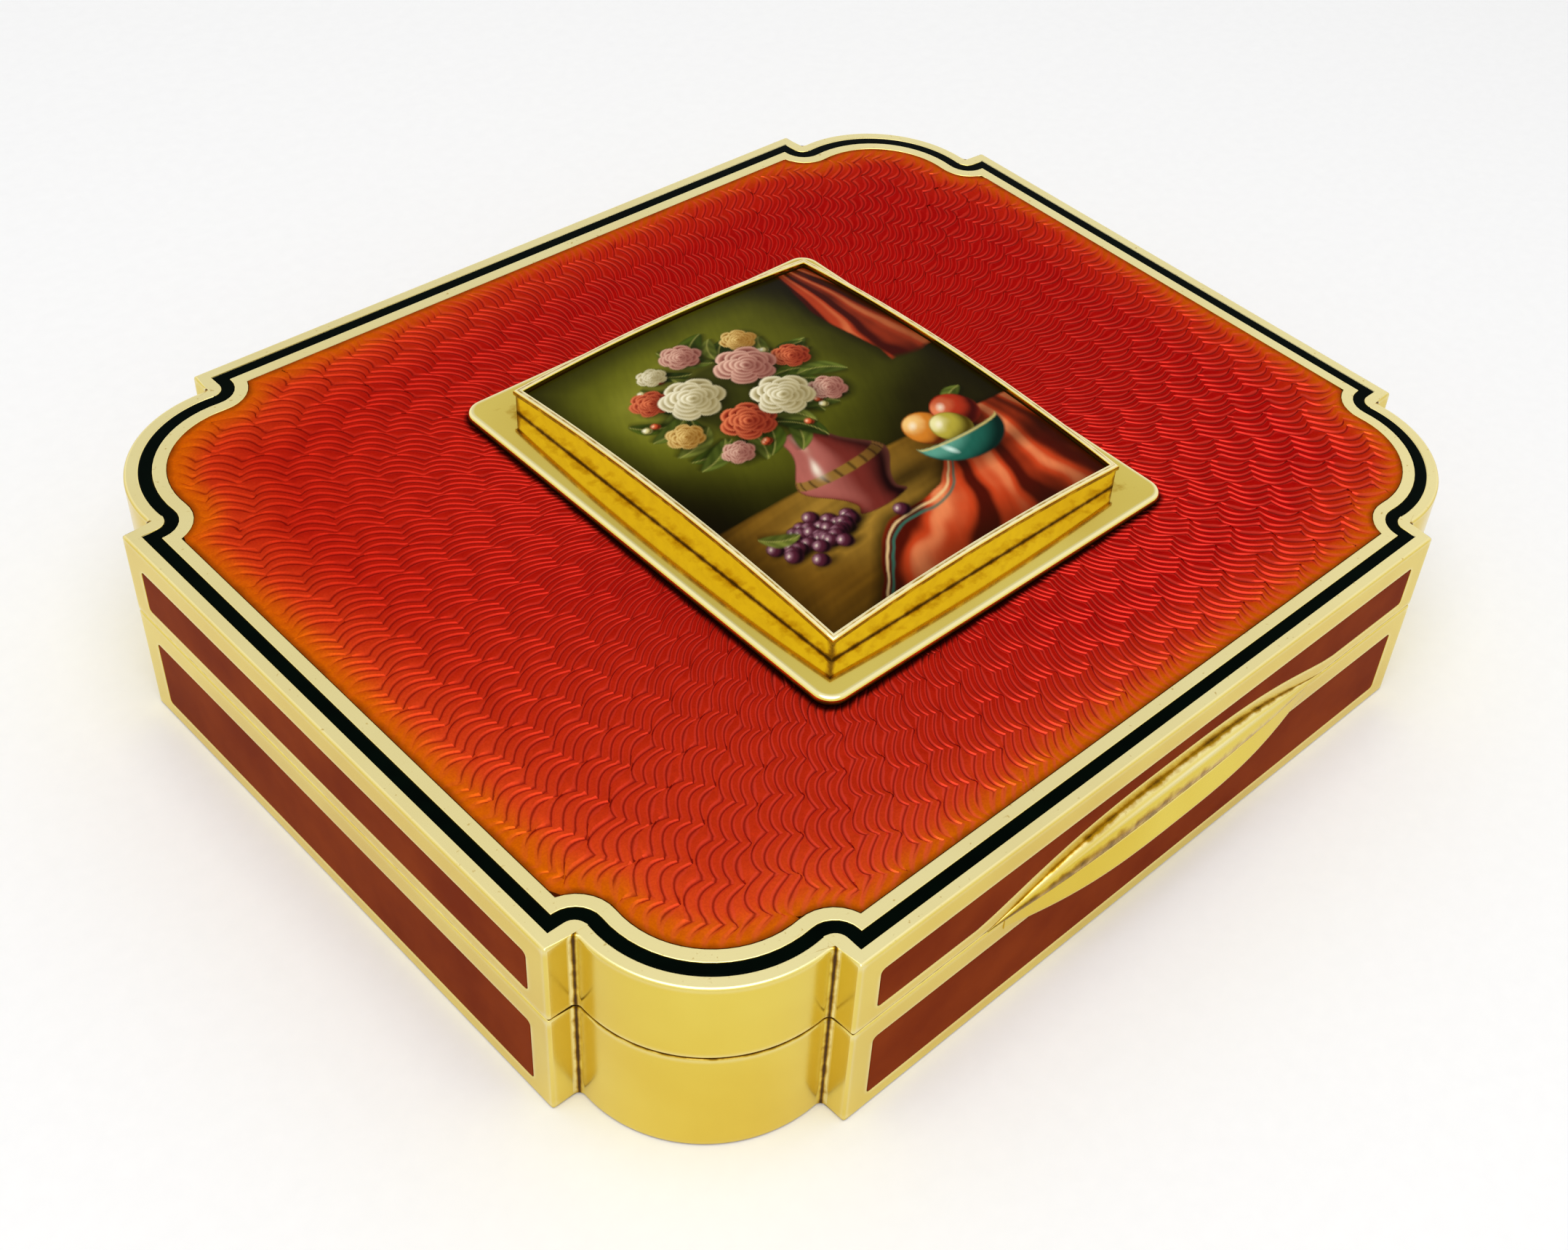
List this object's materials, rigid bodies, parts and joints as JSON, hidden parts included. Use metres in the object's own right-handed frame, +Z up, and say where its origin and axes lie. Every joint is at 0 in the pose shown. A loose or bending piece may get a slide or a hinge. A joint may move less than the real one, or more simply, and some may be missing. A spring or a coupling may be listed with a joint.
{
  "type": "table box",
  "caption": "Low oblong table box with stepped round corners, a hinged lid, enamel panels on every side, a beaded thumbpiece and a framed domed plaque on the lid.",
  "frame": {"origin": "centre of the underside, on the surface that the box stands on", "axes": "+Z up, +X along the longer side to the right seen from the front, -Y towards the thumbpiece, hinge at +Y"},
  "size_m": [0.13, 0.1136, 0.0305],
  "materials": {
    "gilt": "polished gilt silver with fine wear and dark residue in the seams",
    "red_enamel": "clear red enamel over wavy engraved rays",
    "brown_enamel": "clear red-brown enamel over engraved metal",
    "black_enamel": "glossy black-green enamel",
    "painted_enamel": "painted enamel under clear glaze"
  },
  "bodies": {
    "base": {"base_bottom": "gilt", "base_side_front": "gilt", "base_side_right": "gilt", "base_side_back": "gilt", "base_side_left": "gilt", "base_enamel_front": "brown_enamel", "base_enamel_right": "brown_enamel", "base_enamel_back": "brown_enamel", "base_enamel_left": "brown_enamel", "base_corner_front_left": "gilt", "base_corner_front_right": "gilt", "base_corner_back_left": "gilt", "base_corner_back_right": "gilt", "closing_strip_front": "gilt", "closing_strip_right": "gilt", "closing_strip_left": "gilt", "thumb_ledge": "gilt", "base_knuckle_1": "gilt", "base_knuckle_2": "gilt", "base_knuckle_3": "gilt", "base_knuckle_4": "gilt", "hinge_pin": "gilt"},
    "lid": {"lid_plate": "gilt", "lid_side_front": "gilt", "lid_side_right": "gilt", "lid_side_back": "gilt", "lid_side_left": "gilt", "lid_enamel_front": "brown_enamel", "lid_enamel_right": "brown_enamel", "lid_enamel_back": "brown_enamel", "lid_enamel_left": "brown_enamel", "lid_corner_front_left": "gilt", "lid_corner_front_right": "gilt", "lid_corner_back_left": "gilt", "lid_corner_back_right": "gilt", "lid_line_enamel": "black_enamel", "lid_field_enamel": "red_enamel", "thumb_bead": "gilt", "lid_knuckle_1": "gilt", "lid_knuckle_2": "gilt", "lid_knuckle_3": "gilt", "plaque_flange": "gilt", "plaque_bezel": "gilt", "plaque": "painted_enamel", "flange_nut_1": "gilt", "flange_nut_2": "gilt", "flange_nut_3": "gilt", "flange_nut_4": "gilt"}
  },
  "joints": [
    {"name": "lid_hinge", "type": "hinge", "parent": "base", "child": "lid", "pos_m": [0, 0.055, 0.0141], "axis": [-1, 0, 0], "range_deg": [0, 100]}
  ]
}
